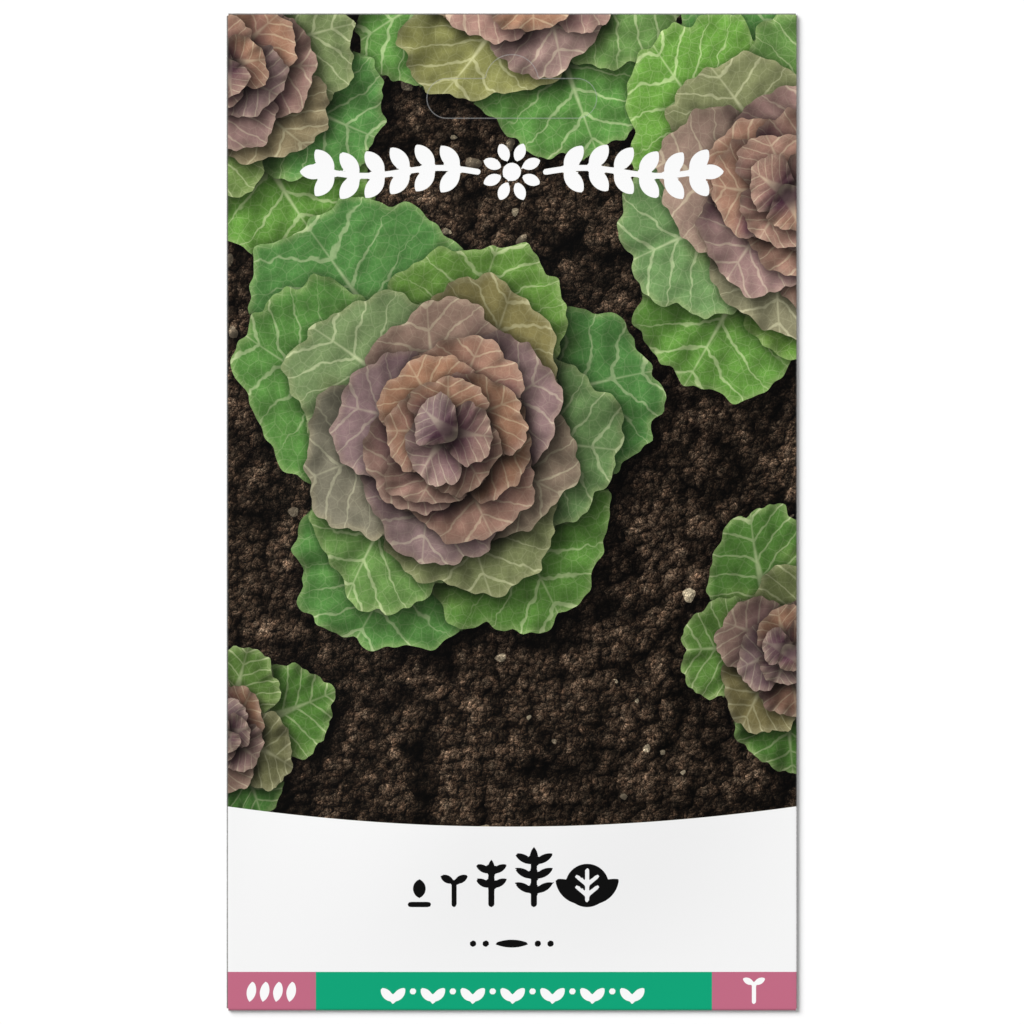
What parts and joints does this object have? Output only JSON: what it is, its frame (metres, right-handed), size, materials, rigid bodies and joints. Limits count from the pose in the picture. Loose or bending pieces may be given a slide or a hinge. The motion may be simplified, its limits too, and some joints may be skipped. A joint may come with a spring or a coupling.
{
  "type": "seed packet",
  "caption": "Flat, slightly pillowed paper seed packet, folded and glued from one sheet, with a die-cut hanging slot in its header and a sealed seed pouch inside.",
  "frame": {"origin": "the middle of the packet at the height of the surface that it lies on", "axes": "+X across the packet to the right of its printed front, +Y along it to the edge with the hanging slot, +Z out of its printed front"},
  "size_m": [0.1076, 0.188, 0.0033],
  "materials": {
    "printed_paper": "smooth coated paper, printed on the front, lightly satin",
    "slot_chip_paper": "the same coated and printed paper, with a bare cut edge",
    "glassine_film": "thin translucent glassine",
    "seed_coat": "matt, dark brown"
  },
  "bodies": {
    "root": {"packet_sheet": "printed_paper", "slot_chip": "slot_chip_paper", "pouch_back_film": "glassine_film", "pouch_front_film": "glassine_film", "seeds": "seed_coat"}
  },
  "joints": []
}
